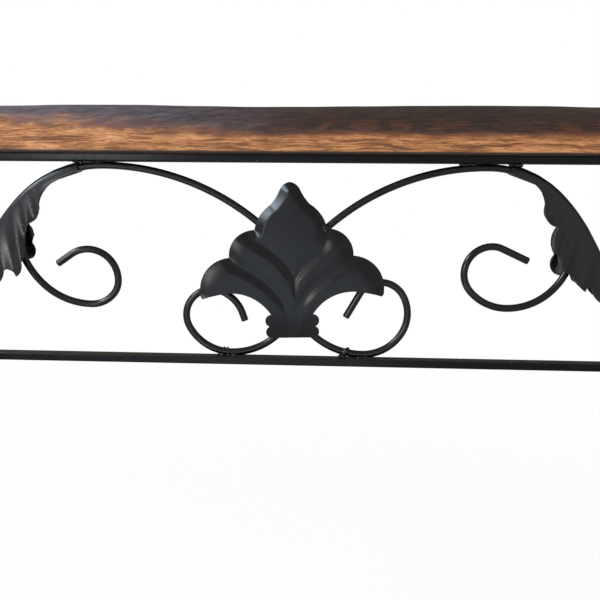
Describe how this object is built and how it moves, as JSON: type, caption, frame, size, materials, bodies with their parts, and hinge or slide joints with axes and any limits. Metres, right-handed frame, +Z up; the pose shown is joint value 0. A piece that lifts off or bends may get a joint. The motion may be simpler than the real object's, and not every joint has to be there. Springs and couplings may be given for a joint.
{
  "type": "wall shelf",
  "caption": "Wall shelf: a thick wooden plank with a rounded, burnt front edge on a black iron frame whose apron is filled with bent wire scrolls, a stamped palmette and folded leaves.",
  "frame": {"origin": "middle of the wall screw holes, on the wall plane", "axes": "+X along the shelf to the right seen from the front, +Y into the wall, +Z up"},
  "size_m": [0.64, 0.082, 0.1678],
  "materials": {
    "stained_wood": "brown stain, burnt dark on the bevel",
    "black_iron": "satin black paint",
    "black_sheet": "satin black paint on stamped sheet"
  },
  "bodies": {
    "root": {"shelf_board": "stained_wood", "board_screws": "black_iron", "front_top_rail": "black_iron", "front_bottom_rail": "black_iron", "left_side_top_bar": "black_iron", "right_side_top_bar": "black_iron", "left_side_bottom_bar": "black_iron", "right_side_bottom_bar": "black_iron", "left_end_post": "black_iron", "right_end_post": "black_iron", "left_wall_upright": "black_iron", "right_wall_upright": "black_iron", "left_scroll": "black_iron", "right_scroll": "black_iron", "left_leaf": "black_sheet", "right_leaf": "black_sheet", "palmette": "black_sheet", "frame_corner_welds": "black_iron", "scroll_top_welds": "black_iron", "scroll_bottom_welds": "black_iron", "palmette_welds": "black_iron", "scroll_centre_welds": "black_iron", "leaf_welds": "black_iron"}
  },
  "joints": []
}
